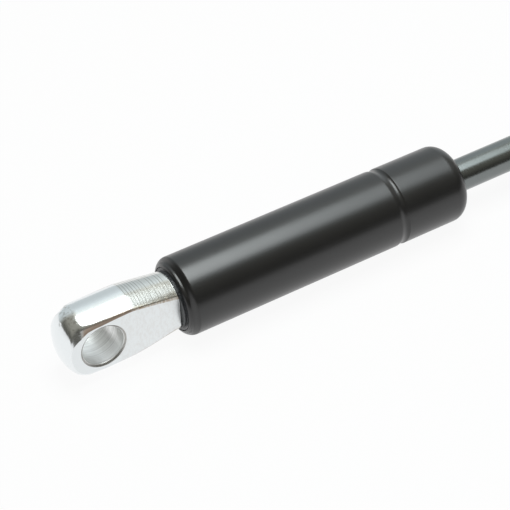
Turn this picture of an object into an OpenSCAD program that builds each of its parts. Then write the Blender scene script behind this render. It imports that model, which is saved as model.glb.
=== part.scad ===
// Gas spring with a fixed eyelet at each end, drawn fully extended.
// The tube's eyelet bore is centred on the origin with its axis along Y.
// The rod leaves the tube along +X. Every radius below is measured from the X axis.

/* [Stroke] */
// Travel of the rod from fully out to fully in
stroke = 30; // [10:1:200]
// Length left free behind the piston with the rod fully in
reserve = 3.2; // [1:0.1:20]
// Gap between the rod's eyelet and the tube with the rod fully in
parked_gap = 5.45; // [1:0.05:20]

/* [Pressure tube] */
// Outside diameter of the tube
tube_d = 19; // [18:0.5:28]
// Wall of the tube
tube_wall = 1.25; // [1:0.05:1.5]
// Outer corner radius of the end rolled over the plug
plug_roll_r = 2.4; // [1.8:0.1:3]
// Outer corner radius of the end rolled over the rod guide
guide_roll_r = 3.5; // [2.5:0.1:4]
// How far the lip at the plug reaches in from the bore
plug_lip = 0.55; // [0.4:0.05:1.2]
// Gap between the rod and the lip round it
rod_lip_gap = 1.8; // [1.2:0.1:2.4]
// Depth of the groove rolled into the tube
groove_depth = 0.35; // [0.2:0.05:0.6]
// Radius of the groove's round bottom
groove_r = 1; // [0.6:0.1:1.6]

/* [Eyelets] */
// Diameter of both eyelets
eye_d = 16.9; // [16:0.1:20]
// Thickness of both eyelets across their flats
eye_t = 10.3; // [8:0.1:12]
// Pin bore of both eyelets
eye_bore = 10.2; // [6:0.1:10.8]
// Chamfer at each mouth of a pin bore
eye_chamfer = 0.4; // [0.2:0.1:0.6]
// Bore centre to the end of the tube
eye_reach = 19.9; // [16:0.1:30]
// Bore centre to the end of the rod's shoulder
rod_eye_reach = 20; // [20:0.1:30]
// Bore centre to the start of the taper
taper_start = 7.8; // [6:0.1:10]
// Bore centre to the start of the round nose
nose_start = 3.2; // [2:0.1:4]
// Radius of the nose's corner
nose_corner_r = 4.9; // [3:0.1:6]
// Radius of the nose's face
nose_face_r = 12; // [10:0.5:20]
// Length of round neck between the tube's eyelet flats and the tube
neck_land = 0.45; // [0.2:0.05:2]
// Length of round neck on the rod's eyelet
rod_neck_land = 1.5; // [0.5:0.1:4]
// Step from the neck out to its collar in the tube's mouth
collar_step = 0.65; // [0.3:0.05:1]

/* [Rod] */
// Diameter of the rod
rod_d = 8; // [7:0.5:9]
// Diameter of the rod's tail that carries the piston
tail_d = 5.5; // [4:0.1:6]
// Diameter of the riveted head on the tail
rivet_d = 7.2; // [6.6:0.1:9]
// Height of the riveted head
rivet_h = 1.2; // [0.8:0.1:2]
// Thread at the rod's outer end
thread_d = 6; // [5:1:6]
// Length of that thread
thread_len = 10; // [8:0.5:12]
// Free depth of the eyelet's hole past the thread
thread_relief = 1; // [0.5:0.1:1.5]

/* [Piston] */
// Length of the piston
piston_len = 7; // [6:0.5:14]
// Gap between the piston and the tube's bore
piston_gap = 0.35; // [0.2:0.05:0.5]
// Width of the piston ring
ring_w = 2; // [1.2:0.1:3]
// Radial thickness of the piston ring
ring_t = 1.1; // [0.8:0.1:1.2]
// Gap in the split piston ring
ring_split = 0.5; // [0.3:0.1:1]
// Number of oil ports through the piston
port_count = 4; // [2:1:6]
// Diameter of an oil port
port_d = 1.2; // [0.6:0.1:1.3]
// Thickness of the valve disc
valve_t = 0.5; // [0.3:0.1:1]
// Thickness of the washer behind the valve disc
rear_washer_t = 1.2; // [0.8:0.1:2]
// Thickness of the washer in front of the piston
front_washer_t = 1.5; // [1:0.1:3]
// Outside diameter of the washer in front of the piston
front_washer_d = 10.2; // [9.6:0.1:10.4]
// Length of the rubber stop buffer
buffer_len = 3.8; // [2:0.1:8]
// Radial thickness of the stop buffer
buffer_t = 2.2; // [1.5:0.1:2.6]

/* [Plug and guide package] */
// Length of the plug head inside the tube
plug_len = 10; // [7:0.5:16]
// Section diameter of both O-rings
o_ring_d = 1.74; // [1.4:0.02:2]
// Thickness of the ring that rests on the rolled groove
support_t = 1.2; // [0.8:0.1:2]
// Length of the main seal
seal_len = 3.6; // [3:0.1:6]
// Thickness of the ring behind the main seal
backing_t = 1; // [0.8:0.1:2]
// Length of the rod guide
guide_len = 8.25; // [7.5:0.05:14]
// Radial thickness of the guide's bush
bush_t = 0.75; // [0.5:0.05:1]
// Width of the felt ring
felt_w = 1.8; // [1.2:0.1:2.2]
// Radial thickness of the felt ring
felt_t = 1.9; // [1.2:0.1:2.2]
// Thickness of the washer under the rolled end
washer_t = 1.6; // [1.4:0.1:3]
// Radial thickness of the wiper
wiper_t = 1.5; // [1.2:0.1:1.8]

/* [Hidden] */
$fn = 96;

// Clearances
slide_fit = 0.03;   // rod in its bush, ring in the bore
seal_fit = 0.02;    // rubber on the rod and on the bore
seat_fit = 0.03;    // parts pressed or stacked in the tube
side_fit = 0.1;     // ring in its groove, lip round the collar
stop_gap = 0.1;     // buffer to its stop with the rod fully out
ring_float = 0.2;   // ring to the bottom of its groove
o_ring_play = 0.6;  // groove wider than its O-ring
cut = 1;            // how far a cutter runs past what it cuts
nose_steps = 8;     // straight steps in each arc of an eyelet's nose

// Radii
tube_r = tube_d / 2;
bore_r = tube_r - tube_wall;
fitted_r = bore_r - seat_fit;
rod_r = rod_d / 2;
tail_r = tail_d / 2;
eye_r = eye_d / 2;
plug_mouth_r = bore_r - plug_lip;
collar_r = plug_mouth_r - side_fit;
neck_r = collar_r - collar_step;
rod_mouth_r = rod_r + rod_lip_gap;
piston_r = bore_r - piston_gap;
ring_r = bore_r - slide_fit;
ring_groove_r = ring_r - ring_t - ring_float;
port_ring_r = (front_washer_d / 2 + ring_groove_r) / 2;
bush_r = rod_r + slide_fit + bush_t;
felt_r = rod_r + slide_fit + felt_t;
wiper_r = rod_r + seal_fit + wiper_t;

// The ridge that the rolled groove raises inside the bore
groove_centre_r = tube_r + groove_r - groove_depth;
ridge_r = groove_r + tube_wall;
ridge_half = sqrt(pow(ridge_r, 2) - pow(ridge_r - groove_depth, 2));

// O-ring seats
o_ring_r = o_ring_d / 2;
o_ring_centre_r = bore_r - seal_fit - o_ring_r;
o_groove_r = o_ring_centre_r - o_ring_r - seal_fit;
o_groove_w = o_ring_d + o_ring_play;

// Places along X, from the tube's eyelet to the rod's
tube_x0 = eye_reach;
plug_x0 = tube_x0 + tube_wall;
plug_x1 = plug_x0 + plug_len;
rivet_x0 = plug_x1 + reserve + stroke;
rear_washer_x0 = rivet_x0 + rivet_h;
valve_x0 = rear_washer_x0 + rear_washer_t;
piston_x0 = valve_x0 + valve_t;
piston_x1 = piston_x0 + piston_len;
shoulder_x = piston_x1 + front_washer_t;
buffer_x1 = shoulder_x + buffer_len;
support_x0 = buffer_x1 + stop_gap;
groove_x = support_x0 - ridge_half - seat_fit;
seal_x0 = support_x0 + support_t;
backing_x0 = seal_x0 + seal_len;
guide_x0 = backing_x0 + backing_t;
guide_x1 = guide_x0 + guide_len;
washer_x1 = guide_x1 + washer_t;
tube_x1 = washer_x1 + tube_wall;
rod_eye_face = tube_x1 + stroke + parked_gap;
rod_eye_x = rod_eye_face + rod_eye_reach;
ring_x0 = (piston_x0 + piston_x1 - ring_w) / 2;
plug_o_ring_x = (plug_x0 + plug_x1) / 2;
guide_o_ring_x = guide_x0 + (felt_w + guide_len) / 2;
wiper_x0 = guide_x1 + washer_t / 3;
wiper_tip_x = washer_x1 + tube_wall / 2;

// Turns a profile of [radius, x] points round the X axis
module turned() {
    rotate([0, 90, 0])
        rotate_extrude()
            children();
}

// A plain ring, or a disc where the inner radius is 0
module band(x0, x1, outer, inner) {
    turned()
        translate([inner, x0])
            square([outer - inner, x1 - x0]);
}

// Half outline of a solid column with a round corner at each end
module column(r, x0, x1, corner0, corner1) {
    polygon([
        [0, x0], [r - corner0, x0], [r, x0 + corner0],
        [r, x1 - corner1], [r - corner1, x1], [0, x1]
    ]);
    translate([r - corner0, x0 + corner0])
        circle(corner0);
    translate([r - corner1, x1 - corner1])
        circle(corner1);
}

// The space inside the tube between its rolled ends, drawn in by a clearance
module cavity_outline(clearance) {
    column(
        bore_r - clearance, plug_x0, washer_x1,
        plug_roll_r - tube_wall, guide_roll_r - tube_wall
    );
}

// Keeps only what fits in the tube with a clearance all round
module fitted_in_tube() {
    intersection() {
        children();
        turned()
            cavity_outline(seat_fit);
    }
}

module cylinder_tube() {
    color([0.06, 0.06, 0.06])
        turned()
            difference() {
                union() {
                    difference() {
                        column(tube_r, tube_x0, tube_x1, plug_roll_r, guide_roll_r);
                        cavity_outline(0);
                        translate([0, tube_x0 - cut])
                            square([plug_mouth_r, cut + tube_wall + cut]);
                        translate([0, washer_x1 - cut])
                            square([rod_mouth_r, cut + tube_wall + cut]);
                    }
                    // ridge raised by the groove
                    intersection() {
                        translate([groove_centre_r, groove_x])
                            circle(ridge_r);
                        translate([0, groove_x - ridge_r])
                            square([tube_r, 2 * ridge_r]);
                    }
                }
                translate([groove_centre_r, groove_x])
                    circle(groove_r);
            }
}

// Half outline of an eyelet from its round nose to the end of its taper.
// The nose is an arc of nose_face_r round the axis that runs into an arc of nose_corner_r.
module eye_outline(reach) {
    corner_out = eye_r - nose_corner_r;
    face_in = sqrt(pow(nose_face_r - nose_corner_r, 2) - pow(corner_out, 2)) - nose_start;
    join = atan2(corner_out, face_in + nose_start);
    face = [
        for (i = [0 : nose_steps])
            let (a = join * i / nose_steps)
                [nose_face_r * sin(a), face_in - nose_face_r * cos(a)]
    ];
    corner = [
        for (i = [1 : nose_steps])
            let (a = join + (90 - join) * i / nose_steps)
                [corner_out + nose_corner_r * sin(a), -nose_start - nose_corner_r * cos(a)]
    ];
    polygon(concat(face, corner, [[eye_r, taper_start], [neck_r, reach], [0, reach]]));
}

// Turned eyelet blank with its flats milled and its pin bore drilled
module eyelet(reach, land) {
    flat_cut = reach - land + eye_d;
    difference() {
        turned()
            eye_outline(reach);
        for (side = [-1, 1])
            translate([-eye_d, side * (eye_t + eye_d) / 2 - eye_d / 2, -eye_d])
                cube([flat_cut, eye_d, 2 * eye_d]);
        rotate([90, 0, 0])
            cylinder(h = eye_t + 2 * cut, d = eye_bore, center = true);
        for (side = [-1, 1])
            rotate([side * 90, 0, 0])
                translate([0, 0, eye_t / 2 - eye_chamfer])
                    cylinder(
                        h = 2 * eye_chamfer,
                        r1 = eye_bore / 2,
                        r2 = eye_bore / 2 + 2 * eye_chamfer
                    );
    }
}

// Tube's eyelet, turned in one piece with its collar and the plug head in the tube
module tube_eyelet() {
    color([0.80, 0.81, 0.82]) {
        eyelet(eye_reach, neck_land);
        band(tube_x0, plug_x0, collar_r, 0);
        fitted_in_tube()
            difference() {
                band(plug_x0, plug_x1, tube_r, 0);
                band(
                    plug_o_ring_x - o_groove_w / 2, plug_o_ring_x + o_groove_w / 2,
                    tube_r + cut, o_groove_r
                );
            }
    }
}

// An O-ring round the X axis
module o_ring(x) {
    color([0.05, 0.05, 0.05])
        turned()
            translate([o_ring_centre_r, x])
                circle(o_ring_r);
}

module plug_o_ring() {
    o_ring(plug_o_ring_x);
}

module support_ring() {
    color([0.62, 0.63, 0.64])
        band(support_x0, seal_x0, fitted_r, rod_r + side_fit);
}

// Lip seal with a tapered channel open to the gas, half as deep as the seal
module main_seal() {
    inner = rod_r + seal_fit;
    outer = bore_r - seal_fit;
    middle = (inner + outer) / 2;
    lip = (outer - inner) / 3;
    color([0.07, 0.07, 0.08])
        turned()
            polygon([
                [inner, seal_x0], [inner + lip, seal_x0],
                [middle, seal_x0 + seal_len / 2], [outer - lip, seal_x0],
                [outer, seal_x0], [outer, backing_x0], [inner, backing_x0]
            ]);
}

module seal_backing_ring() {
    color([0.88, 0.86, 0.78])
        band(backing_x0, guide_x0, fitted_r, rod_r + side_fit);
}

module felt_ring() {
    color([0.50, 0.46, 0.38])
        band(guide_x0, guide_x0 + felt_w, felt_r, rod_r + slide_fit);
}

// Guide with a pocket for the felt, a bore for the bush and an O-ring groove
module rod_guide() {
    color([0.55, 0.56, 0.58])
        fitted_in_tube()
            difference() {
                band(guide_x0, guide_x1, tube_r, bush_r + slide_fit);
                band(guide_x0 - cut, guide_x0 + felt_w, felt_r + slide_fit, 0);
                band(
                    guide_o_ring_x - o_groove_w / 2, guide_o_ring_x + o_groove_w / 2,
                    tube_r + cut, o_groove_r
                );
            }
}

module guide_bush() {
    color([0.72, 0.52, 0.26])
        band(guide_x0 + felt_w, guide_x1, bush_r, rod_r + slide_fit);
}

module guide_o_ring() {
    o_ring(guide_o_ring_x);
}

// Washer under the rolled end, with a seat for the wiper
module end_washer() {
    color([0.60, 0.61, 0.62])
        fitted_in_tube()
            difference() {
                band(guide_x1, washer_x1, tube_r, rod_r + side_fit);
                band(wiper_x0, washer_x1 + cut, wiper_r + seat_fit, 0);
            }
}

// Wiper whose lip points out along the rod
module rod_wiper() {
    inner = rod_r + seal_fit;
    color([0.08, 0.08, 0.09])
        turned()
            polygon([
                [inner, wiper_x0], [wiper_r, wiper_x0], [wiper_r, washer_x1],
                [inner + wiper_t / 2, washer_x1], [inner + wiper_t / 5, wiper_tip_x],
                [inner, wiper_tip_x]
            ]);
}

// Split ring that seals the piston to the bore
module piston_ring() {
    color([0.85, 0.83, 0.76])
        difference() {
            band(ring_x0, ring_x0 + ring_w, ring_r, ring_r - ring_t);
            translate([ring_x0 - cut, -ring_split / 2, 0])
                cube([ring_w + 2 * cut, ring_split, tube_r]);
        }
}

// Rod with its tail, riveted head and outer thread
module piston_rod() {
    color([0.23, 0.24, 0.24])
        turned()
            union() {
                column(rivet_d / 2, rivet_x0, rear_washer_x0, rivet_h / 2, rivet_h / 4);
                translate([0, rivet_x0 + rivet_h / 2])
                    square([tail_r, shoulder_x - rivet_x0]);
                translate([0, shoulder_x])
                    square([rod_r, rod_eye_face - shoulder_x]);
                translate([0, rod_eye_face - cut])
                    square([thread_d / 2, thread_len + cut]);
            }
}

module stop_buffer() {
    color([0.09, 0.09, 0.10])
        band(shoulder_x, buffer_x1, rod_r + buffer_t, rod_r + slide_fit);
}

module front_washer() {
    color([0.64, 0.65, 0.66])
        band(piston_x1, shoulder_x, front_washer_d / 2, tail_r + slide_fit);
}

// Piston with its ring groove and oil ports
module piston() {
    color([0.67, 0.68, 0.70])
        difference() {
            band(piston_x0, piston_x1, piston_r, tail_r + slide_fit);
            band(ring_x0 - side_fit, ring_x0 + ring_w + side_fit, piston_r + cut, ring_groove_r);
            for (i = [0 : port_count - 1])
                rotate([i * 360 / port_count, 0, 0])
                    translate([piston_x0 - cut, 0, port_ring_r])
                        rotate([0, 90, 0])
                            cylinder(h = piston_len + 2 * cut, d = port_d);
        }
}

// Thin disc that covers the ports on one side
module valve_disc() {
    color([0.70, 0.71, 0.72])
        band(valve_x0, piston_x0, port_ring_r + port_d, tail_r + slide_fit);
}

module rear_washer() {
    color([0.64, 0.65, 0.66])
        band(rear_washer_x0, valve_x0, front_washer_d / 2, tail_r + slide_fit);
}

// Rod's eyelet, screwed on to the rod's thread
module rod_eyelet() {
    color([0.80, 0.81, 0.82])
        difference() {
            translate([rod_eye_x, 0, 0])
                rotate([0, 0, 180])
                    eyelet(rod_eye_reach, rod_neck_land);
            band(
                rod_eye_face - cut, rod_eye_face + thread_len + thread_relief,
                thread_d / 2 + slide_fit, 0
            );
        }
}

cylinder_tube();
tube_eyelet();
plug_o_ring();
support_ring();
main_seal();
seal_backing_ring();
felt_ring();
rod_guide();
guide_bush();
guide_o_ring();
end_washer();
rod_wiper();
piston_ring();
piston_rod();
stop_buffer();
front_washer();
piston();
valve_disc();
rear_washer();
rod_eyelet();
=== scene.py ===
import math

import bmesh
import bpy
import numpy as np
from mathutils import Matrix, Vector


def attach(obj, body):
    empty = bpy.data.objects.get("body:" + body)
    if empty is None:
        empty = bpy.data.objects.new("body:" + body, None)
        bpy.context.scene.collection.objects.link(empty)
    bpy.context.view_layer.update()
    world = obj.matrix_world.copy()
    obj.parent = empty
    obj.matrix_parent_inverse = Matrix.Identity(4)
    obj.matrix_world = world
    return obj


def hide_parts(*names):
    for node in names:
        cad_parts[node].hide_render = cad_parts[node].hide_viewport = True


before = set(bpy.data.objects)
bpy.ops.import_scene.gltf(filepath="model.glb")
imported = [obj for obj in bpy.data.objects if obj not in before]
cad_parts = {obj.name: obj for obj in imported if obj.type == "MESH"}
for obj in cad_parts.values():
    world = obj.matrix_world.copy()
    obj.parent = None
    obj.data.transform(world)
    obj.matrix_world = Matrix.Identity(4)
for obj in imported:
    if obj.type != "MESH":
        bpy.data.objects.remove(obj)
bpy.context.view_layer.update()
scene = bpy.context.scene
mm = 0.001                                   # all shapes are worked out in millimetres
meshLook = {
    "mergeWithin": 0.0004, "noLength": 0.0002, "arcStep": 8, "sharpAngle": 35, "around": 128,
}
print("frame loaded:", len(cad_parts), "nodes")


# Rounds the corners of a path. Each corner with a radius is replaced by the arc that
# touches both of its straight sides, in steps of about 8 degrees.
def roundCorners(points, closed):
    line = np.array([p[:2] for p in points], float)
    radii = [p[2] if len(p) > 2 else 0.0 for p in points]
    count = len(line)
    path = []
    for i in range(count):
        here = line[i]
        if radii[i] <= 0 or (not closed and i in (0, count - 1)):
            path.append(here[None, :])
            continue
        back = line[i - 1] - here
        ahead = line[(i + 1) % count] - here
        back = back / np.linalg.norm(back)
        ahead = ahead / np.linalg.norm(ahead)
        half = math.acos(np.clip(back @ ahead, -1, 1)) / 2
        reach = radii[i] / math.tan(half)
        middle = (back + ahead) / np.linalg.norm(back + ahead)
        centre = here + middle * radii[i] / math.sin(half)
        startArm = here + back * reach - centre
        endArm = here + ahead * reach - centre
        startAngle = math.atan2(startArm[1], startArm[0])
        turn = math.atan2(endArm[1], endArm[0]) - startAngle
        turn = (turn + math.pi) % (2 * math.pi) - math.pi
        steps = max(2, int(math.ceil(abs(turn) / math.radians(meshLook["arcStep"]))))
        angle = startAngle + turn * np.linspace(0, 1, steps + 1)
        path.append(centre + radii[i] * np.stack([np.cos(angle), np.sin(angle)], 1))
    return np.concatenate(path)


# An arc of a circle as path points, from one angle to another in degrees.
def arc(centreX, centreR, radius, start, end, steps):
    angle = np.radians(np.linspace(start, end, steps + 1))
    return np.stack([centreX + radius * np.cos(angle), centreR + radius * np.sin(angle)], 1)


# Joins a grid of points into quads. Rows run along the path, columns go round.
def gridFaces(rows, columns, closedRows, closedColumns):
    i = np.arange(rows if closedRows else rows - 1)
    j = np.arange(columns if closedColumns else columns - 1)
    i, j = [a.ravel() for a in np.meshgrid(i, j, indexing="ij")]
    i1 = (i + 1) % rows
    j1 = (j + 1) % columns
    return np.stack([i * columns + j, i1 * columns + j, i1 * columns + j1, i * columns + j1], 1)


# Merges doubles, drops edges of no length and marks the edges past an angle as sharp.
def cleanMesh(mesh, sharpAngle, turnOut):
    work = bmesh.new()
    work.from_mesh(mesh)
    bmesh.ops.remove_doubles(work, verts=work.verts, dist=meshLook["mergeWithin"] * mm)
    bmesh.ops.dissolve_degenerate(work, edges=work.edges, dist=meshLook["noLength"] * mm)
    if turnOut:
        bmesh.ops.recalc_face_normals(work, faces=work.faces)
    work.to_mesh(mesh)
    work.free()
    mesh.shade_smooth()
    mesh.set_sharp_from_angle(angle=math.radians(sharpAngle))


# Turns points and faces into a clean mesh whose faces point outwards.
def meshFrom(name, points, faces, sharpAngle=meshLook["sharpAngle"]):
    mesh = bpy.data.meshes.new(name)
    corners = [list(map(int, face)) for face in faces]
    mesh.from_pydata((np.asarray(points, float) * mm).tolist(), [], corners)
    cleanMesh(mesh, sharpAngle, True)
    return mesh


# A path of (x, radius) carried round X: y is -radius sin(angle), z is radius cos(angle).
def carried(x, radius, angle):
    return np.stack([x, -radius * np.sin(angle), radius * np.cos(angle)], -1).reshape(-1, 3)


# Surface of revolution round X: the path turned through equal angles. height, when given,
# is a function of (x, angle, radius) in mm that is added to the radius.
def turned(name, path, closed, around=meshLook["around"], height=None, sharpAngle=meshLook["sharpAngle"]):
    angle = np.arange(around) * 2 * np.pi / around
    x = np.repeat(path[:, :1], around, 1)
    radius = np.repeat(path[:, 1:2], around, 1)
    spin = np.repeat(angle[None, :], len(path), 0)
    if height is not None:
        radius = radius + height(x, spin, radius)
    faces = gridFaces(len(path), around, closed, True)
    return meshFrom(name, carried(x, radius, spin), faces, sharpAngle)


# The same path swept round X from one angle to another, with a flat cap at each end.
def swept(name, path, start, end, around):
    angle = np.radians(np.linspace(start, end, around))
    x = np.repeat(path[:, :1], around, 1)
    radius = np.repeat(path[:, 1:2], around, 1)
    faces = gridFaces(len(path), around, True, False).tolist()
    faces.append([i * around for i in range(len(path))])
    faces.append([i * around + around - 1 for i in range(len(path))])
    return meshFrom(name, carried(x, radius, angle), faces)


def objectFrom(name, mesh):
    piece = bpy.data.objects.new(name, mesh)
    scene.collection.objects.link(piece)
    return piece


# Cuts one closed mesh out of another and keeps the result as a plain mesh.
def cutOut(piece, cutter, sharpAngle):
    modifier = piece.modifiers.new("cut", "BOOLEAN")
    modifier.operation = "DIFFERENCE"
    modifier.solver = "EXACT"
    modifier.object = cutter
    bpy.context.view_layer.update()
    found = piece.evaluated_get(bpy.context.evaluated_depsgraph_get())
    mesh = bpy.data.meshes.new_from_object(found)
    piece.modifiers.clear()
    piece.data = mesh
    cleanMesh(mesh, sharpAngle, False)
    bpy.data.objects.remove(cutter)


# Hands a finished piece to the frame: its finish, its body and the node it stands for.
def settle(piece, finish, body, node):
    piece.data.materials.clear()
    piece.data.materials.append(finish)
    modifier = piece.modifiers.new("evenNormals", "WEIGHTED_NORMAL")
    modifier.mode = "FACE_AREA"
    modifier.keep_sharp = True
    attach(piece, body)
    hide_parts(node)


class Amount:                                # a number on its way through a node tree
    def __init__(self, board, socket):
        self.board = board
        self.socket = socket

    def __add__(self, other):
        return self.board.sums("ADD", self, other)

    def __sub__(self, other):
        return self.board.sums("SUBTRACT", self, other)

    def __rsub__(self, other):
        return self.board.sums("SUBTRACT", other, self)

    def __mul__(self, other):
        return self.board.sums("MULTIPLY", self, other)

    __radd__ = __add__
    __rmul__ = __mul__


class Board:                                 # a node tree and its short ways of adding nodes
    def __init__(self, owner):
        owner.use_nodes = True
        self.tree = owner.node_tree
        self.tree.nodes.clear()

    # Any node: its type, its settings, then the values or links of its sockets.
    def node(self, kind, settings=None, sockets=None):
        made = self.tree.nodes.new(kind)
        for key, value in (settings or {}).items():
            setattr(made, key, value)
        for key, value in (sockets or {}).items():
            socket = made.inputs[key]
            if isinstance(value, Amount):
                self.tree.links.new(value.socket, socket)
            elif isinstance(value, bpy.types.NodeSocket):
                self.tree.links.new(value, socket)
            elif value is not None:
                if socket.type == "RGBA" and len(value) == 3:
                    value = (*value, 1)
                socket.default_value = value
        return made

    def sums(self, operation, a, b=None, clamp=False):
        made = self.node("ShaderNodeMath", {"operation": operation, "use_clamp": clamp}, {0: a, 1: b})
        return Amount(self, made.outputs[0])

    def split(self, vector):
        made = self.node("ShaderNodeSeparateXYZ", None, {0: vector})
        return [Amount(self, socket) for socket in made.outputs]

    def join(self, x, y, z):
        return self.node("ShaderNodeCombineXYZ", None, {0: x, 1: y, 2: z}).outputs[0]

    # 0 below low, 1 above high, smooth between; low may be above high
    def rise(self, value, low, high):
        made = self.node("ShaderNodeMapRange", {"interpolation_type": "SMOOTHSTEP"},
                         {"Value": value, "From Min": low, "From Max": high})
        return Amount(self, made.outputs[0])

    # 1 from low to high, fading over the soft distance on both sides of each
    def span(self, value, low, high, soft):
        return self.rise(value, low - soft, low + soft) * self.rise(value, high + soft, high - soft)

    def noise(self, vector, scale, detail=2.0, rough=0.5):
        made = self.node("ShaderNodeTexNoise", None,
                         {"Vector": vector, "Scale": scale, "Detail": detail, "Roughness": rough})
        return Amount(self, made.outputs[0])

    # noise along one number only, for turning and grinding marks
    def marks(self, value, scale, detail=2.0, rough=0.5):
        made = self.node("ShaderNodeTexNoise", {"noise_dimensions": "1D"},
                         {"W": value, "Scale": scale, "Detail": detail, "Roughness": rough})
        return Amount(self, made.outputs[0])

    # small round dots scattered at random, 1 inside a dot
    def dots(self, vector, scale, size, share):
        cells = self.node("ShaderNodeTexVoronoi", None, {"Vector": vector, "Scale": scale})
        near = self.rise(Amount(self, cells.outputs["Distance"]), size, size * 0.4)
        chance = self.split(cells.outputs["Color"])[0]
        return near * self.rise(chance, 1 - share, 1 - share * 0.9)

    def blend(self, factor, a, b):
        made = self.node("ShaderNodeMix", {"data_type": "RGBA"}, {"Factor": factor, 6: a, 7: b})
        return made.outputs[2]

    def between(self, factor, a, b):
        return a + factor * (b - a)

    def bump(self, height, depth, under=None):
        made = self.node("ShaderNodeBump", None,
                         {"Strength": 1.0, "Distance": depth * mm, "Height": height})
        if under is not None:
            self.tree.links.new(under, made.inputs["Normal"])
        return made.outputs[0]


# A material with the place on the piece in millimetres from a chosen centre.
class Finish(Board):
    def __init__(self, name, centre=(0, 0, 0)):
        self.material = bpy.data.materials.new(name)
        super().__init__(self.material)
        place = self.node("ShaderNodeTexCoord").outputs["Object"]
        scaled = self.node("ShaderNodeVectorMath", {"operation": "SCALE"}, {0: place, "Scale": 1 / mm})
        shifted = self.node("ShaderNodeVectorMath", {"operation": "SUBTRACT"},
                            {0: scaled.outputs[0], 1: centre})
        self.place = shifted.outputs[0]
        self.x, self.y, self.z = self.split(self.place)
        self.radius = self.sums("SQRT", self.y * self.y + self.z * self.z)
        self.angle = self.sums("ARCTAN2", self.y, self.z)

    # place unrolled round X: (x, angle times a radius), so grain can be stretched along or round
    def unrolled(self, alongScale, roundScale, radius):
        return self.join(self.x * alongScale, self.sums("SINE", self.angle) * (radius * roundScale),
                         self.sums("COSINE", self.angle) * (radius * roundScale))

    def done(self, **sockets):
        named = {key.replace("_", " "): value for key, value in sockets.items()}
        shader = self.node("ShaderNodeBsdfPrincipled", None, named)
        self.node("ShaderNodeOutputMaterial", None, {"Surface": shader.outputs[0]})
        return self.material


def dimmed(colour, by):
    return tuple(by * c for c in colour)


tubeLook = {
    "outer": 9.5, "bore": 8.25, "start": 19.9, "end": 96.55, "wall": 1.25, "around": 192,
    "plugRoll": 2.4, "guideRoll": 3.5, "plugMouth": 7.7, "rodMouth": 5.8, "lipEdge": 0.12,
    "grooveStart": 76.25, "grooveFloor": 77.80, "grooveEnd": 78.68, "grooveDepth": 0.35,
    "grooveWall": 2.2, "grooveSmooth": 11, "ridgeX": 78.25, "ridgeWidth": 0.75, "ridgeReach": 1.9,
    "black": (0.0080, 0.0080, 0.0080), "blackSpread": (0.85, 1.15), "cloudScale": 0.12,
    "dust": (0.20, 0.20, 0.20), "dustCover": 0.8, "dustScale": 0.45, "dustSize": 0.045, "dustShare": 0.10,
    "roughness": 0.31, "grainRoughness": 0.06, "cloudRoughness": 0.05,
    "paintIor": 1.6, "bumpDepth": 0.006, "peelScale": 1.6, "peelHeight": 0.7,
    "grainScale": 9.0, "grainHeight": 0.3,
    "crinkleScale": 2.6, "crinkleHeight": 3.0, "crinkleFade": (21.4, 20.2),
    "lipRing": (20.05, 20.70, 22.2), "lipDepth": 0.65,   # the shallow ring behind the rolled lip
    "bareAlong": (21.1, 95.35), "bareRadius": (0.35, 0.15), "bareRoughness": 0.28,
    "darkSteel": (0.36, 0.35, 0.33), "paleSteel": (0.46, 0.45, 0.43), "steelScale": 3.0,
}


# The rolled groove: a gentle half wave down from the tube's plug end, then a wall that rises as
# 1 - u to a power, and the whole averaged over a tenth of a millimetre.
def groovePath(t):
    x = np.linspace(t["grooveStart"] - 0.2, t["grooveEnd"] + 0.2, 277)
    down = np.clip((x - t["grooveStart"]) / (t["grooveFloor"] - t["grooveStart"]), 0, 1)
    up = np.clip((x - t["grooveFloor"]) / (t["grooveEnd"] - t["grooveFloor"]), 0, 1)
    depth = t["grooveDepth"] * (1 - np.cos(np.pi * down)) / 2 * (1 - up ** t["grooveWall"])
    depth = np.convolve(depth, np.ones(t["grooveSmooth"]) / t["grooveSmooth"], "same")
    return np.stack([x, t["outer"] - depth], 1)[::4]


# Profile of the tube: outer corner arcs, the rolled groove, then the bore back with its ridge,
# which is a bell curve. Every arc of the inner side is the outer one less the wall.
def tubePath(t):
    x0, x1, wall = t["start"], t["end"], t["wall"]
    ridgeSteps = np.linspace(t["ridgeReach"], -t["ridgeReach"], 33)
    ridgeHeight = t["grooveDepth"] * np.exp(-(ridgeSteps / t["ridgeWidth"]) ** 2)
    ridge = np.stack([t["ridgeX"] + ridgeSteps, t["bore"] - ridgeHeight], 1)
    plugR, guideR = t["plugRoll"], t["guideRoll"]
    plugIn, guideIn = plugR - wall, guideR - wall
    plugReach = (t["plugMouth"] + t["lipEdge"] - (t["outer"] - plugR)) / plugR
    plugStart = 180 - math.degrees(math.asin(plugReach))
    outerPlug = arc(x0 + plugR, t["outer"] - plugR, plugR, plugStart, 90, 32)
    outerGuide = arc(x1 - guideR, t["outer"] - guideR, guideR, 90, 0, 28)
    innerGuide = arc(x1 - guideR, t["bore"] - guideIn, guideIn, 0, 90, 16)
    cutAngle = math.degrees(math.asin((t["plugMouth"] - (t["bore"] - plugIn)) / plugIn))
    innerPlug = arc(x0 + plugR, t["bore"] - plugIn, plugIn, 90, 180 - cutAngle, 8)
    rodLip = roundCorners([
        (x1, t["outer"] - guideR), (x1, t["rodMouth"], 0.18),
        (x1 - wall, t["rodMouth"], 0.1), (x1 - wall, t["bore"] - guideIn)], False)[1:-1]
    plugLip = np.array([
        [innerPlug[-1][0] - 0.05, t["plugMouth"]],
        [outerPlug[0][0] + 0.10, t["plugMouth"]],
        [outerPlug[0][0] + 0.02, t["plugMouth"] + 0.04]])
    outside = [outerPlug, groovePath(t), outerGuide]
    return np.concatenate(outside + [rodLip, innerGuide, ridge, innerPlug, plugLip])


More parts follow.
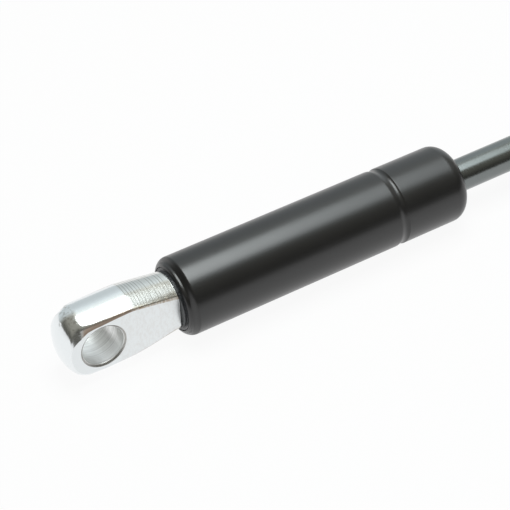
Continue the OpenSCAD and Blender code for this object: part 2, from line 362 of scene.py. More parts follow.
# Satin black outside, honed bare steel in the bore between the rolled ends.
def tubePaint(t):
    f = Finish("satinBlackPaint")
    cloud = f.noise(f.place, t["cloudScale"], 3.0)
    speck = f.dots(f.place, t["dustScale"], t["dustSize"], t["dustShare"])
    black = f.blend(cloud, *[dimmed(t["black"], by) for by in t["blackSpread"]])
    painted = f.blend(speck * t["dustCover"], black, t["dust"])
    inside = (f.rise(f.radius, *[t["bore"] + more for more in t["bareRadius"]])
              * f.span(f.x, *t["bareAlong"], 0.1))
    steel = f.blend(f.marks(f.x, t["steelScale"], 3.0), t["darkSteel"], t["paleSteel"])
    peel = f.noise(f.place, t["peelScale"], 2.0)
    grain = f.noise(f.place, t["grainScale"], 2.0)
    hone = f.noise(f.unrolled(4.0, 0.6, t["bore"]), 1.0, 2.0)
    crinkle = f.noise(f.place, t["crinkleScale"], 3.0, 0.6) * f.rise(f.x, *t["crinkleFade"])
    height = peel * t["peelHeight"] + grain * t["grainHeight"] + crinkle * t["crinkleHeight"]
    height = height * (1 - inside) + hone * inside
    satin = t["roughness"] + (grain - 0.5) * t["grainRoughness"] + (cloud - 0.5) * t["cloudRoughness"]
    # the ring is steep on the lip's side and gentle on the other
    ringStart, ringFloor, ringEnd = t["lipRing"]
    dip = 1 - f.rise(f.x, ringStart, ringFloor) + f.rise(f.x, ringFloor, ringEnd)
    lip = f.bump(dip * (1 - inside), t["lipDepth"])
    return f.done(
        Base_Color=f.blend(inside, painted, steel), Metallic=inside,
        Roughness=f.between(inside, satin, t["bareRoughness"]), IOR=t["paintIor"],
        Normal=f.bump(height, t["bumpDepth"], lip))


tube = objectFrom("tubeShell", turned("tubeShell", tubePath(tubeLook), True, tubeLook["around"]))
settle(tube, tubePaint(tubeLook), "cylinder", "cylinder_tube")
print("tube done")


eyeLook = {
    "radius": 8.45, "half": 5.15, "bore": 5.1, "chamfer": 0.4, "flare": 0.55, "mouthCorner": 0.12,
    "taperStart": 7.8, "taperSoft": 0.5, "neck": 6.95, "bulge": 0.02, "cutterCorner": 0.15,
    "noseStart": 3.2, "noseCorner": 4.9, "noseFace": 12.0,
    # how far up and down the flats reach, as a share of a plain cut, by x from the bore
    "shareX": (-9.0, -7.4, -6.2, -5.2, -4.3, -3.2, -2.0, 0.0, 3.0, 7.0, 12.0, 16.0, 19.5),
    "upperShare": (0.80, 0.74, 0.72, 0.72, 0.775, 0.845, 0.88, 0.885, 0.92, 0.945, 0.935, 0.90, 0.87),
    "lowerShare": (0.90, 0.905, 0.91, 0.915, 0.92, 0.93, 0.94, 0.965, 0.955, 0.93, 0.90, 0.83, 0.79),
    # how far the rounding leans over to the flat on the nose and behind it, and its radius as a
    # share of the largest
    "upperEdge": (0.42, 0.66, 0.42), "lowerEdge": (0.42, 0.42, 1.0), "leanX": (-5.6, -4.0),
    "faceRows": 15, "easeRows": 10, "cornerRows": 24, "taperRows": 9, "stepRows": 10,
    "arcSteps": 20, "edgeSteps": 10, "flatSteps": 16, "boreAround": 160, "sharpAngle": 10,
}
tubeEyeLook = {
    "reach": 19.9, "land": 0.45, "paintedFrom": 19.22,
    "back": [
        (20.05, 6.95, 0.12), (20.05, 7.6, 0.08), (21.25, 7.6), (21.45, 7.86), (21.75, 8.09), (22.3, 8.22),
        (24.98, 8.22, 0.12), (24.98, 6.47, 0.2), (27.32, 6.47, 0.2), (27.32, 8.22, 0.12),
        (31.15, 8.22, 0.3), (31.15, 0.0)],
}
rodEyeLook = {
    "boreX": 152.0, "reach": 20.0, "land": 1.5,
    "back": [(20.0, 6.95, 0.25), (20.0, 3.35), (19.7, 3.03), (9.0, 3.03), (9.0, 0.0)],
}


# Rows of the eyelet as (x, turned radius, half width between the flats). The nose is an arc
# round the axis that runs into a corner arc, then a cylinder, a taper and the flats' end step.
def eyeRows(e, own):
    outCorner = e["radius"] - e["noseCorner"]
    inFace = math.sqrt((e["noseFace"] - e["noseCorner"]) ** 2 - outCorner ** 2) - e["noseStart"]
    joinAngle = math.atan2(outCorner, inFace + e["noseStart"])
    flatAngle = math.asin(e["half"] / e["noseFace"])
    ease = np.linspace(0, 1, e["easeRows"] + 1)[1:] ** 2
    faceAngle = np.concatenate([
        np.linspace(0, flatAngle, e["faceRows"]), flatAngle + (joinAngle - flatAngle) * ease])
    cornerShare = np.linspace(0, 1, e["cornerRows"] + 1)[1:]
    cornerAngle = joinAngle + (math.pi / 2 - joinAngle) * cornerShare
    face = np.stack([
        inFace - e["noseFace"] * np.cos(faceAngle), e["noseFace"] * np.sin(faceAngle)], 1)
    corner = np.stack([
        -e["noseStart"] - e["noseCorner"] * np.cos(cornerAngle),
        outCorner + e["noseCorner"] * np.sin(cornerAngle)], 1)
    barrelX = np.array([-1.6, 0.0, 1.6, 3.2, 4.8, 6.2])
    barrel = np.stack([barrelX, np.full(len(barrelX), e["radius"])], 1)

    # the taper's start is a short parabola, and its length swells by half a sine
    start, soft = e["taperStart"], e["taperSoft"]
    stepX = own["reach"] - own["land"]
    slope = (e["neck"] - e["radius"]) / (own["reach"] - start)
    taperX = np.concatenate([
        start + soft * np.array([-1, -0.6, -0.2, 0.2, 0.6, 1]),
        np.linspace(start + 1.5, stepX - e["cutterCorner"], e["taperRows"])])
    share = np.clip((taperX - start + soft) / (2 * soft), 0, 1)
    fall = np.where(taperX < start + soft, soft * share ** 2, taperX - start)
    way = np.clip((taperX - start) / (own["reach"] - start), 0, 1)
    taper = np.stack([taperX, e["radius"] + slope * fall + e["bulge"] * np.sin(np.pi * way)], 1)

    # the flats end in the milling cutter's small corner
    cutterTurn = np.linspace(0, math.pi / 2, e["stepRows"] + 1)[1:]
    rowX = stepX - e["cutterCorner"] * (1 - np.sin(cutterTurn))
    stepRows = np.stack([rowX, e["radius"] + slope * (rowX - start)], 1)
    front = np.concatenate([face, corner, barrel, taper, stepRows])
    half = np.full(len(front), e["half"])
    half[-e["stepRows"]:] += e["cutterCorner"] * (1 - np.cos(cutterTurn))
    back = roundCorners([(stepX, front[-1, 1])] + own["back"], False)
    return front, half, back


# A quarter of each row's cross section: a circle, then a tighter arc that leaves it without a
# corner, a straight run that meets the flat lower than a plain cut would, then half the flat.
# The largest radius of the tighter arc has no straight run after it.
def eyeQuarter(e, front, half, share, noseLean, lean, tight):
    tiny = 1e-9
    radius = front[:, 1:2]
    half = np.minimum(half[:, None], radius)
    plainZ = np.sqrt(np.maximum(0, radius ** 2 - half ** 2))
    plainAngle = np.arctan2(half, plainZ)
    plainAngle[0] = math.pi / 2
    edgeZ = plainZ * np.interp(front[:, 0], e["shareX"], share)[:, None]
    lean = np.interp(front[:, :1], e["leanX"], (noseLean, lean))
    lean = plainAngle + (math.pi / 2 - plainAngle) * lean
    reach = half * np.sin(lean) + edgeZ * np.cos(lean)
    edge = (radius ** 2 - half ** 2 - edgeZ ** 2) / np.maximum(2 * (radius - reach), tiny) * tight
    opening = lean - np.arccos(np.clip((reach - edge) / np.maximum(radius - edge, tiny), -1, 1))
    centreY = (radius - edge) * np.sin(opening)
    centreZ = (radius - edge) * np.cos(opening)
    noFlat = plainZ < tiny                   # rows of the nose that are narrower than the flats
    opening[noFlat] = math.pi / 2
    centreY[noFlat] = half[noFlat]
    centreZ[noFlat] = 0
    edge[noFlat] = 0
    step = np.arange(e["arcSteps"] + 1)[None, :] / e["arcSteps"]
    arcY = radius * np.sin(opening * step)
    arcZ = radius * np.cos(opening * step)
    step = np.arange(1, e["edgeSteps"] + 1)[None, :] / e["edgeSteps"]
    turn = opening + (lean - opening) * step
    roundY = centreY + edge * np.sin(turn)
    roundZ = centreZ + edge * np.cos(turn)
    step = np.arange(1, e["flatSteps"] + 1)[None, :] / e["flatSteps"]
    y = np.concatenate([arcY, roundY, half, half + 0 * step], 1)
    z = np.concatenate([arcZ, roundZ, edgeZ, edgeZ * (1 - step)], 1)
    return y, z


# All rows as one grid. Past the flats the columns keep their angle and lie on the full circle.
def eyeGrid(e, own):
    front, half, back = eyeRows(e, own)
    sides = []
    for side in ("upper", "lower"):
        y, z = eyeQuarter(e, front, half, e[side + "Share"], *e[side + "Edge"])
        angle = np.arctan2(y[-1], z[-1])
        y = np.concatenate([y, back[:, 1:2] * np.sin(angle)])
        z = np.concatenate([z, back[:, 1:2] * np.cos(angle)])
        sides.append((y, z))
    (upY, upZ), (lowY, lowZ) = sides
    x = np.concatenate([front[:, 0], back[:, 0]])
    y = np.concatenate([upY, lowY[:, -2::-1], -lowY[:, 1:], -upY[:, -2:0:-1]], 1)
    z = np.concatenate([upZ, -lowZ[:, -2::-1], -lowZ[:, 1:], upZ[:, -2:0:-1]], 1)
    x = np.repeat(x[:, None], y.shape[1], 1)
    return np.stack([x, y, z], -1)


# The pin bore as a solid: a path of (y, radius) turned round Y, flared by the mouth chamfers.
def boreCutter(e, centreX):
    out = e["half"] + e["chamfer"]
    mouth = e["half"] - e["chamfer"]
    wide = e["bore"] + 2 * e["flare"]
    path = roundCorners([
        (-out, 0.0), (-out, wide), (-mouth, e["bore"], e["mouthCorner"]),
        (mouth, e["bore"], e["mouthCorner"]), (out, wide), (out, 0.0)], False)
    angle = np.arange(e["boreAround"]) * 2 * np.pi / e["boreAround"]
    radius = path[:, 1:2]
    y = np.repeat(path[:, :1], len(angle), 1)
    points = np.stack([centreX + radius * np.sin(angle), y, radius * np.cos(angle)], -1).reshape(-1, 3)
    faces = gridFaces(len(path), len(angle), False, True)
    return objectFrom("boreCutter", meshFrom("boreCutter", points, faces))


# Tints and their cover, pattern scales per mm, and where along the eyelet each wear mark and painted
# reflection lies.
platingLook = {
    "plate": (0.80, 0.83, 0.84), "plateSpread": (0.975, 1.015), "mottleScale": 0.55,
    "flat": (0.755, 0.785, 0.795), "flatSpread": 1.02, "millingScale": 2.4,
    "taper": (0.70, 0.71, 0.69), "taperCover": 0.7,
    "turned": (0.30, 0.30, 0.28), "turningCover": 0.25, "turningScale": 1.5, "fineTurningScale": 9.0,
    "feedCover": 0.55, "feedTurn": 8.5, "feedLine": (0.45, 0.95),
    "feedScale": 0.9, "feedPatch": (0.25, 0.55), "wanderScale": 0.15, "wanderBy": 0.15, "feedWander": 3.0,
    "bore": (0.93, 0.93, 0.92), "boreCover": 0.8, "boreMark": (0.44, 0.44, 0.43), "boreMarkCover": 0.50,
    "boreMarkScale": 2.2, "boreMarkEdge": (0.40, 0.70),
    "mouth": (0.16, 0.15, 0.13), "mouthCover": 0.35, "beadCover": 0.5, "beadCount": 95.0,
    "wearAndPaintedReflection": (0.30, 0.29, 0.25), "wornCover": 0.45, "wornEdge": (0.50, 0.64), "wornAlong": (-6.6, -3.9, 0.7),
    # the next tone is dirt on the taper; on the taper's upper edge it is also a painted reflection
    "grimeAndReflection": (0.62, 0.56, 0.45), "grimeCover": 0.42, "grimeScale": 0.9, "grimeEdge": (0.42, 0.66),
    "grimeAlong": (9.5, 17.0), "lowSide": (0.45, 0.85),
    # these two tones are painted reflection: the dark room mirrored on the upper edge rounding, as a warm
    # band and a darker line at the flat's corner
    "paintedBrownReflection": (0.40, 0.305, 0.235), "brownCover": 0.9, "brownEnd": (9.0, 7.0), "brownStart": (-5.2, -3.9),
    "brownEdge": (0.13, 0.09, 0.06), "brownEdgeCover": 0.4, "upperSide": (0.0, 2.0),
    # black is the paint on the neck; the next tone is its painted sheen, pale bluish specks
    "black": (0.010, 0.011, 0.012), "paintedSheenSpecks": (0.055, 0.060, 0.065), "lumpScale": 2.8, "paintRoughness": 0.36,
    "roughness": 0.16, "bumpDepth": 0.014, "nickScale": 0.55, "nickSize": 0.28, "nickShare": 0.45,
}


# Bright plating over turned steel, with painted reflection on its upper edge and nose and painted shade at
# the bore's mouth. centreX is the bore's place and outward the way to the neck.
# Past paintedFrom, when given, the tube's black paint has run over the neck, with a painted sheen on its
# lumps.
def eyePlating(name, e, p, centreX, outward, paintedFrom=None):
    f = Finish(name, (centreX, 0, 0))
    along = f.x * outward
    across = f.sums("ABSOLUTE", f.y)
    fromBore = f.sums("SQRT", f.x * f.x + f.z * f.z)
    upper = f.rise(f.z, *p["upperSide"])

    # the parts of the surface, each 1 on its own ground
    onFlat = f.rise(across, e["half"] - 0.03, e["half"] - 0.01)
    offFlat = 1 - onFlat
    inBore = f.rise(fromBore, e["bore"] + 0.55, e["bore"] + 0.45) * offFlat
    offBore = 1 - inBore
    onTaper = f.rise(along, e["taperStart"] - 0.2, e["taperStart"] + 0.5) * offFlat * offBore
    onEdge = f.rise(across, e["half"] - 0.75, e["half"] - 0.25) * offFlat * offBore
    nearEdge = f.span(across, e["half"] - 0.22, e["half"] - 0.03, 0.06) * f.rise(along, 1.0, 6.0)
    # the bore's mouth ring, which takes a painted shade below
    mouth = (f.rise(fromBore, e["bore"] + 0.06, e["bore"] + 0.16)
             * f.rise(fromBore, e["bore"] + 0.60, e["bore"] + 0.50) * offFlat)

    # marks of the tools
    wander = f.noise(f.place, p["wanderScale"], 0.0) * p["wanderBy"]
    turning = f.marks(along + wander, p["turningScale"], 3.0, 0.75)
    fineTurning = f.marks(along, p["fineTurningScale"], 2.0, 0.6)
    feed = f.sums("SINE", (along + wander * p["feedWander"]) * p["feedTurn"])
    patches = f.rise(f.marks(along, p["feedScale"], 2.0, 0.6), *p["feedPatch"])
    feedLines = f.rise(feed, *p["feedLine"]) * patches
    boreWander = f.noise(f.place, 0.2, 0.0) * 0.3
    boreMarks = f.marks(f.y + boreWander, p["boreMarkScale"], 3.0, 0.7)
    milling = f.noise(f.join(f.x * 0.5, f.y, f.z * 2.2), p["millingScale"], 3.0, 0.6)
    mottle = f.noise(f.place, p["mottleScale"], 3.0)
    fine = f.noise(f.place, 6.0, 2.0)

    # dirt and wear, with painted reflection on the upper edge and the nose
    dirt = f.rise(f.noise(f.join(f.x * 2.0, f.y, f.z), p["grimeScale"], 4.0, 0.7), *p["grimeEdge"])
    steep = f.sums("ARCTAN2", across, f.sums("ABSOLUTE", f.z))
    lowSide = f.rise(steep, *p["lowSide"])
    dirty = dirt * f.rise(along, *p["grimeAlong"]) * offFlat * (0.35 + lowSide * 0.65)
    roundBore = f.sums("ARCTAN2", f.x, f.z)
    beads = f.rise(f.sums("SINE", roundBore * p["beadCount"]) + mottle * 1.5, 0.2, 0.9)
    # painted reflection: a warm dark band on the upper rounding beside the flats, from the nose to the
    # taper's start, stands in for the dark room that it mirrors
    paintedBrownReflection = onEdge * f.rise(along, *p["brownEnd"]) * f.rise(along, *p["brownStart"]) * upper
    # wear spots kept to the upper nose, where it mirrors the dark room: they also paint a darker mottle
    # into that reflection
    wearAndPaintedReflection = (f.rise(f.noise(f.place, 1.0, 3.0, 0.6), *p["wornEdge"])
            * f.span(along, *p["wornAlong"]) * f.rise(f.z, 1.5, 3.5))
    dented = f.rise(along, -1.0, -4.5) * offFlat * f.rise(f.z, -1.0, 1.5)
    nicks = f.dots(f.place, p["nickScale"], p["nickSize"], p["nickShare"])

    tint = f.blend(mottle, *[dimmed(p["plate"], by) for by in p["plateSpread"]])
    tint = f.blend(onFlat, tint, f.blend(milling, p["flat"], dimmed(p["flat"], p["flatSpread"])))
    tint = f.blend(onTaper * p["taperCover"], tint, p["taper"])
    turnedBy = turning * onTaper * p["turningCover"] + feedLines * onTaper * p["feedCover"]
    tint = f.blend(turnedBy, tint, p["turned"])
    # painted reflection with dirt: the taper's upper edge always takes some of this tone, as the dark room
    # that it mirrors, and more where there is dirt
    tint = f.blend(onEdge * onTaper * (0.3 + dirt * 0.6) * upper, tint, p["grimeAndReflection"])
    tint = f.blend(inBore * p["boreCover"], tint, p["bore"])
    tint = f.blend(f.rise(boreMarks, *p["boreMarkEdge"]) * inBore * p["boreMarkCover"], tint, p["boreMark"])
    # wear with a painted darkening of the nose's reflection
    tint = f.blend(wearAndPaintedReflection * offFlat * p["wornCover"], tint, p["wearAndPaintedReflection"])
    # painted shade: the bore's mouth ring darkened evenly, with radial streaks on it
    tint = f.blend(mouth * (p["mouthCover"] + beads * p["beadCover"]), tint, p["mouth"])
    tint = f.blend(dirty * offBore * p["grimeCover"], tint, p["grimeAndReflection"])
    # the painted reflection band, then its darker painted line at the flat's corner
    tint = f.blend(paintedBrownReflection * p["brownCover"], tint, p["paintedBrownReflection"])
    corner = f.rise(across, e["half"] - 0.30, e["half"] - 0.08)
    tint = f.blend(paintedBrownReflection * corner * p["brownEdgeCover"], tint, p["brownEdge"])
    # dirt along the flats' edges on the barrel, with a faint even share of the painted reflection tone
    tint = f.blend(nearEdge * (0.15 + dirt * 0.75) * offBore, tint, p["paintedBrownReflection"])

    roughness = (p["roughness"] + fine * 0.05 - onTaper * 0.02 + onFlat * 0.14 + inBore * 0.22
                 + dirty * 0.12 + paintedBrownReflection * 0.26 + onTaper * onEdge * 0.20)
    height = (onTaper * (turning * 0.25 + fineTurning * 0.08) + inBore * boreMarks * 3.0
              + onFlat * milling * 0.04 + (1 - onTaper) * mottle * 0.08
              + dented * (mottle * 2.0 - nicks * 2.0))
    if paintedFrom is None:
        return f.done(Base_Color=tint, Metallic=1.0, Roughness=roughness,
                      Normal=f.bump(height, p["bumpDepth"]))

    slow = (f.noise(f.place, 0.5, 2.0) - 0.5) * 0.35
    ragged = (f.noise(f.place, 1.5, 4.0, 0.7) - 0.5) * 0.5 * (1 - onFlat * 0.7)
    border = along + slow + ragged + offFlat * 0.12
    painted = (f.rise(border, paintedFrom - 0.05, paintedFrom + 0.05)
               * f.rise(along, 21.3, 21.2))
    # the paint on the neck takes pale bluish specks on its lumps: a painted sheen
    lumps = f.noise(f.place, p["lumpScale"], 3.0, 0.6)
    paintedSheenSpecks = f.blend(f.rise(lumps, 0.35, 0.75), p["black"], p["paintedSheenSpecks"])
    height = height * (1 - painted) + painted * (lumps * 4.5 + 0.3)
    return f.done(
        Base_Color=f.blend(painted, tint, paintedSheenSpecks), Metallic=1 - painted,
        Roughness=f.between(painted, roughness, p["paintRoughness"]),
        Normal=f.bump(height, p["bumpDepth"]))


def makeEyelet(name, own, toFrame, finish, body, node):
    grid = eyeGrid(eyeLook, own)
    rows, columns = grid.shape[:2]
    points = toFrame(grid).reshape(-1, 3)
    faces = gridFaces(rows, columns, False, True)
    piece = objectFrom(name, meshFrom(name, points, faces, eyeLook["sharpAngle"]))
    centreX = toFrame(np.zeros(3))[0]
    cutOut(piece, boreCutter(eyeLook, centreX), eyeLook["sharpAngle"])
    settle(piece, finish, body, node)


# The rod's eyelet is the same form turned half round Z and moved to its bore.
def atRodEnd(points):
    return points * np.array([-1, -1, 1]) + np.array([rodEyeLook["boreX"], 0, 0])


makeEyelet(
    "tubeEyeForging", tubeEyeLook, lambda points: points,
    eyePlating("brightPlatingTubeEye", eyeLook, platingLook, 0.0, 1.0, tubeEyeLook["paintedFrom"]),
    "cylinder", "tube_eyelet")
makeEyelet(
    "rodEyeForging", rodEyeLook, atRodEnd,
    eyePlating("brightPlatingRodEye", eyeLook, platingLook, rodEyeLook["boreX"], -1.0),
    "rod", "rod_eyelet")
print("eyelets done")


rodLook = {
    "around": 96, "sharpAngle": 40,
    "threadStart": 132.4, "threadEnd": 141.7, "threadRadius": 3.0, "pitch": 1.0, "threadDepth": 0.55,
    "threadFade": 0.5,
    "path": [
        (64.35, 0.0), (64.35, 3.6, 0.6), (65.55, 3.6, 0.25), (65.55, 2.75), (75.75, 2.75),
        (75.75, 4.0, 0.15), (132.0, 4.0, 0.2), (132.0, 3.0)],
    "end": [[142.0, 2.6], [142.0, 0.0]],
    "nitride": (0.185, 0.20, 0.198), "nitrideSpread": (0.9, 1.1), "steel": (0.50, 0.49, 0.47),
    "roughness": 0.18, "bumpDepth": 0.0012,
}


# Helical thread: the radius falls by a triangle wave of x over the pitch less the turn angle.
def threadCut(x, spin, radius):
    r = rodLook
    wave = np.mod((x - r["threadStart"]) / r["pitch"] - spin / (2 * np.pi), 1.0)
    ridge = np.clip(1.25 * (1 - np.abs(2 * wave - 1)) - 0.1, 0, 1)
    fadeIn = np.clip((x - r["threadStart"]) / r["threadFade"], 0, 1)
    fadeOut = np.clip((r["threadEnd"] - x) / r["threadFade"], 0, 1)
    return -r["threadDepth"] * (1 - ridge) * fadeIn * fadeOut


def rodPath(r):
    start = roundCorners(r["path"], False)
    threadX = np.linspace(132.1, 141.6, 115)
    thread = np.stack([threadX, np.full(len(threadX), r["threadRadius"])], 1)
    return np.concatenate([start, thread, r["end"]])


# Dark nitrided and ground along its length, bare steel on the tail and the thread.
def rodNitride(r):
    f = Finish("nitridedRod")
    tail = 1 - f.rise(f.x, 75.7, 75.8) * f.rise(f.x, 132.05, 131.95)
    grinding = f.marks(f.x, 14.0, 3.0, 0.7)
    streaks = f.noise(f.unrolled(0.25, 3.0, 4.0), 1.0, 3.0, 0.6)
    cloud = f.noise(f.place, 0.3, 3.0)
    tint = f.blend(cloud * 0.6 + grinding * 0.4, *[dimmed(r["nitride"], by) for by in r["nitrideSpread"]])
    tint = f.blend(tail, tint, r["steel"])
    roughness = r["roughness"] + streaks * 0.05 + grinding * 0.04 + tail * 0.15
    return f.done(Base_Color=tint, Metallic=1.0, Roughness=roughness,
                  Normal=f.bump(grinding * 0.6 + streaks * 0.4, r["bumpDepth"]))


rodMesh = turned("groundRod", rodPath(rodLook), False, rodLook["around"], threadCut, rodLook["sharpAngle"])
settle(objectFrom("groundRod", rodMesh), rodNitride(rodLook), "rod", "piston_rod")
print("rod done")


# Finishes of the inner parts: tints, and their depth of relief in mm.
innerLook = {
    "bloom": (0.18, 0.18, 0.17), "rubberDepth": 0.008,
    "oil": (0.42, 0.34, 0.18), "plasticDepth": 0.006,
    "darkBronze": (0.50, 0.33, 0.14), "paleBronze": (0.62, 0.43, 0.20),
    "liningGrey": (0.16, 0.17, 0.17), "liningSpot": (0.36, 0.27, 0.16), "bushDepth": 0.006,
    "darkWool": (0.20, 0.17, 0.12), "paleWool": (0.52, 0.46, 0.36), "tuft": (0.30, 0.26, 0.19),
    "oilyWool": (0.10, 0.075, 0.04), "feltDepth": 0.08, "feltSheen": 0.4,
}


def rubber(name, tint, spread):
    f = Finish(name)
    cloud = f.noise(f.place, 0.8, 3.0)
    grain = f.noise(f.place, 11.0, 3.0, 0.6)
    bloom = f.rise(f.noise(f.place, 1.7, 4.0, 0.7), 0.55, 0.8)
    colour = f.blend(cloud, tint, dimmed(tint, 1.5))
    colour = f.blend(bloom * 0.12, colour, innerLook["bloom"])
    return f.done(Base_Color=colour, Roughness=0.42 + spread * grain + 0.1 * bloom,
                  Normal=f.bump(grain * 0.6 + cloud * 0.4, innerLook["rubberDepth"]))


def turnedMetal(name, tint, ringScale, roughness, depth):
    f = Finish(name)
    rings = f.marks(f.radius + f.x, ringScale, 3.0, 0.7)
    cloud = f.noise(f.place, 0.5, 3.0)
    stain = f.rise(f.noise(f.place, 0.9, 4.0, 0.7), 0.58, 0.8)
    colour = f.blend(rings * 0.6 + cloud * 0.4, dimmed(tint, 0.82), tint)
    colour = f.blend(stain * 0.2, colour, dimmed(tint, 0.45))
    return f.done(Base_Color=colour, Metallic=1.0, Roughness=roughness + rings * 0.1 + stain * 0.1,
                  Normal=f.bump(rings, depth))


def plastic(name, tint):
    f = Finish(name)
    cloud = f.noise(f.place, 0.6, 3.0)
    fibre = f.noise(f.unrolled(3.0, 0.8, 7.0), 2.0, 3.0, 0.6)
    oil = f.rise(f.noise(f.place, 0.7, 4.0, 0.65), 0.5, 0.75)
    colour = f.blend(cloud * 0.5 + fibre * 0.5, dimmed(tint, 0.86), tint)
    colour = f.blend(oil * 0.25, colour, innerLook["oil"])
    return f.done(Base_Color=colour, Roughness=0.36 + fibre * 0.14 - oil * 0.1,
                  Normal=f.bump(fibre, innerLook["plasticDepth"]))


# Bronze with a grey running surface that is spotted with bronze.
def bushMetal(name):
    f = Finish(name)
    lining = f.rise(f.radius, 4.42, 4.32)
    spots = f.rise(f.noise(f.place, 3.2, 4.0, 0.7), 0.45, 0.62)
    bronze = f.blend(f.noise(f.place, 1.0, 3.0), innerLook["darkBronze"], innerLook["paleBronze"])
    grey = f.blend(spots, innerLook["liningGrey"], innerLook["liningSpot"])
    return f.done(Base_Color=f.blend(lining, bronze, grey), Metallic=1 - lining * 0.7,
                  Roughness=0.28 + lining * 0.2 + spots * 0.08,
                  Normal=f.bump(spots, innerLook["bushDepth"]))


# Wool felt, darker with oil towards the rod.
def feltWool(name):
    f = Finish(name)
    stretched = f.node("ShaderNodeVectorMath", {"operation": "MULTIPLY"}, {0: f.place, 1: (1.0, 3.0, 1.4)})
    fibre = f.noise(stretched.outputs[0], 3.5, 5.0, 0.75)
    tuft = f.noise(f.place, 1.4, 4.0, 0.6)
    oil = f.rise(f.radius, 5.2, 4.1)
    colour = f.blend(fibre, innerLook["darkWool"], innerLook["paleWool"])
    colour = f.blend(tuft * 0.5, colour, innerLook["tuft"])
    colour = f.blend(oil * 0.6, colour, innerLook["oilyWool"])
    return f.done(Base_Color=colour, Roughness=0.92 - oil * 0.35, Sheen_Weight=innerLook["feltSheen"],
                  Normal=f.bump(fibre * 0.6 + tuft * 0.4, innerLook["feltDepth"]))


# A plain ring's profile with the same small corner all round.
def ringPath(x0, x1, outer, inner, corner):
    return roundCorners([
        (x0, inner, corner), (x0, outer, corner), (x1, outer, corner), (x1, inner, corner)], True)


# A round section's profile, in steps of 7.5 degrees.
def sectionCircle(x, radius, section):
    return arc(x, radius, section, 0, 352.5, 47)


# Fibres that stand up on the felt: a sum of three sines of the angle and the place, in mm.
def feltFuzz(x, spin, radius):
    wave = np.sin(41 * spin + 7 * x) + np.sin(67 * spin - 11 * x + 1.3) + np.sin(97 * spin + 19 * radius)
    return 0.012 * wave


bufferLook = {"start": 75.75, "end": 79.55, "outer": 6.20, "inner": 4.03, "corner": 0.45, "waist": 0.12}


# The buffer's wall is fullest in the middle and falls off as a parabola towards its ends.
def bufferSwell(x, spin, radius):
    b = bufferLook
    middle = (b["start"] + b["end"]) / 2
    share = np.clip(1 - ((x - middle) / (b["end"] - middle)) ** 2, 0, 1)
    return np.where(radius > (b["outer"] + b["inner"]) / 2, -b["waist"] * (1 - share), 0.0)


# Profiles of (x, radius, corner) in the places that the solids have.
sealPath = roundCorners([
    (80.85, 4.02, 0.12), (80.85, 5.4033, 0.25), (82.65, 6.125, 0.3), (80.85, 6.8467, 0.25),
    (80.85, 8.23, 0.12), (82.3, 8.23), (84.45, 8.23, 0.2), (84.45, 4.02, 0.2), (82.3, 4.02)], True)
guidePath = roundCorners([
    (85.45, 5.96, 0.1), (85.45, 8.22, 0.15), (89.305, 8.22, 0.12), (89.305, 6.47, 0.2),
    (91.645, 6.47, 0.2), (91.645, 8.22, 0.12), (93.05, 8.22), (93.40, 8.19), (93.70, 8.12, 0.05),
    (93.70, 4.81, 0.1), (87.25, 4.81, 0.05), (87.25, 5.96, 0.1)], True)
washerCurve = arc(93.05, 5.97, 2.25, 73, 2, 14)
washerPath = np.concatenate([
    [[93.70, 4.10], [93.70, 8.05]], washerCurve, [[95.3, 5.95], [95.3, 5.60], [95.25, 5.55]],
    [[94.233, 5.55], [94.233, 4.10]]])
wiperPath = roundCorners([
    (94.24, 4.02, 0.1), (94.24, 5.52, 0.12), (95.30, 5.52, 0.3), (95.30, 4.77, 0.35),
    (95.925, 4.32, 0.1), (95.925, 4.02, 0.04)], True)
pistonPath = roundCorners([
    (67.25, 2.78, 0.1), (67.25, 7.9, 0.3), (69.65, 7.9, 0.1), (69.65, 6.92, 0.15),
    (71.85, 6.92, 0.15), (71.85, 7.9, 0.1), (74.25, 7.9, 0.3), (74.25, 2.78, 0.1)], True)
bufferPath = ringPath(*[bufferLook[key] for key in ("start", "end", "outer", "inner", "corner")])

oRing = rubber("oRingRubber", (0.014, 0.014, 0.015), 0.08)
sealStuff = rubber("sealRubber", (0.018, 0.019, 0.022), 0.10)
wiperStuff = rubber("wiperRubber", (0.016, 0.016, 0.018), 0.14)
bufferStuff = rubber("bufferRubber", (0.020, 0.019, 0.019), 0.16)
backing = plastic("backingPlastic", (0.78, 0.75, 0.66))
felt = feltWool("oiledFelt")
bronze = bushMetal("bronzeBush")
zinc = turnedMetal("stampedZincSteel", (0.60, 0.61, 0.62), 2.0, 0.24, 0.008)
supportSteel = turnedMetal("supportSteel", (0.52, 0.53, 0.54), 3.0, 0.26, 0.008)
endSteel = turnedMetal("endWasherSteel", (0.50, 0.50, 0.51), 2.4, 0.28, 0.01)
springSteel = turnedMetal("springDiscSteel", (0.58, 0.58, 0.60), 5.0, 0.16, 0.004)
guideAlloy = turnedMetal("turnedGuideAlloy", (0.66, 0.67, 0.69), 5.5, 0.22, 0.012)
pistonAlloy = turnedMetal("turnedPistonAlloy", (0.62, 0.63, 0.65), 4.5, 0.25, 0.012)

